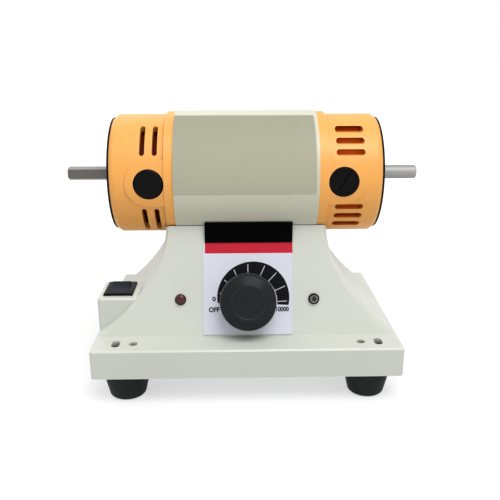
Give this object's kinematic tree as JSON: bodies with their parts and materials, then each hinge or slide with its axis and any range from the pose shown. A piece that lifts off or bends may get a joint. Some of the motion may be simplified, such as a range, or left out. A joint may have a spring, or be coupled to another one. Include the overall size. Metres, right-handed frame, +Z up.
{
  "type": "dental polishing lathe",
  "caption": "Bench polishing lathe: double-ended motor on a cast base, spindle ends either side, speed knob, rocker switch and spindle lock.",
  "frame": {"origin": "on the bench, under the middle of the base", "axes": "+X along the spindle to the right of someone at the front, +Y to the back, +Z up"},
  "size_m": [0.2584, 0.156, 0.1947],
  "materials": {
    "base_paint": "satin light grey",
    "tube_paint": "satin ivory grey",
    "cap_paint": "satin apricot",
    "label_film": "satin sage grey film",
    "rubber": "matt",
    "zinc_steel": "zinc plated",
    "spindle_steel": "ground",
    "bearing_steel": "polished",
    "lamination": "varnished",
    "copper": "enamelled wire",
    "brass": "plain",
    "carbon": "carbon",
    "spring_steel": "plain",
    "aluminium": "plain",
    "black_plastic": "moulded",
    "gloss_black": "moulded",
    "panel_film": "printed",
    "knob_plastic": "charcoal",
    "paddle_plastic": "dark blue",
    "lens_red": "translucent",
    "board_green": "solder mask",
    "guard_paint": "matt enamel",
    "capacitor_case": "moulded"
  },
  "bodies": {
    "frame": {"base_casting": "base_paint", "bearing_outer_rings": "bearing_steel", "board_spacers": "brass", "bottom_cover": "zinc_steel", "brush_caps": "gloss_black", "brush_holders": "brass", "brush_springs": "spring_steel", "capacitor": "capacitor_case", "carbon_brushes": "carbon", "control_board": "board_green", "cord_gland": "black_plastic", "end_cap_left": "cap_paint", "end_cap_right": "cap_paint", "end_cap_screws": "zinc_steel", "end_disc_left": "black_plastic", "end_disc_right": "black_plastic", "field_coils": "copper", "foot_front_left": "rubber", "foot_front_right": "rubber", "foot_rear_left": "rubber", "foot_rear_right": "rubber", "foot_screws": "zinc_steel", "front_panel": "panel_film", "gland_ring": "black_plastic", "heat_sink": "aluminium", "indicator_bezel": "black_plastic", "indicator_lens": "lens_red", "jack_nut": "black_plastic", "jack_socket": "zinc_steel", "lock_spring": "spring_steel", "motor_tube": "tube_paint", "nameplate": "black_plastic", "pot_nut": "zinc_steel", "potentiometer": "zinc_steel", "rocker_frame": "gloss_black", "saddle_bolts": "zinc_steel", "slot_guard_left": "guard_paint", "slot_guard_right": "guard_paint", "stator_core": "lamination", "switch_terminals": "brass", "triac": "black_plastic", "tube_label": "label_film"},
    "rotor": {"spindle": "spindle_steel", "armature_core": "lamination", "armature_windings": "copper", "commutator": "copper", "cooling_fan": "aluminium", "lock_collar": "zinc_steel", "bearing_inner_rings": "bearing_steel"},
    "speed_control": {"speed_knob": "knob_plastic", "knob_screw": "zinc_steel", "pot_shaft": "brass"},
    "rocker": {"rocker_paddle": "paddle_plastic"},
    "spindle_lock": {"lock_button": "gloss_black", "lock_clip": "spring_steel"}
  },
  "joints": [
    {"name": "spindle_spin", "type": "hinge", "parent": "frame", "child": "rotor", "pos_m": [0, 0, 0.1492], "axis": [1, 0, 0], "continuous": true},
    {"name": "speed_knob_turn", "type": "hinge", "parent": "frame", "child": "speed_control", "pos_m": [0.0007, -0.0475, 0.06547], "axis": [0, 0.9588, -0.284], "range_deg": [0, 200]},
    {"name": "rocker_tilt", "type": "hinge", "parent": "frame", "child": "rocker", "pos_m": [-0.0933, -0.026, 0.0657], "axis": [-1, 0, 0], "range_deg": [0, 14]},
    {"name": "lock_push", "type": "slide", "parent": "frame", "child": "spindle_lock", "axis": [0, 1, 0], "range_m": [0, 0.004], "stiffness_N_per_m": 400, "springref_m": -0.002, "deforming": ["lock_spring"]}
  ]
}
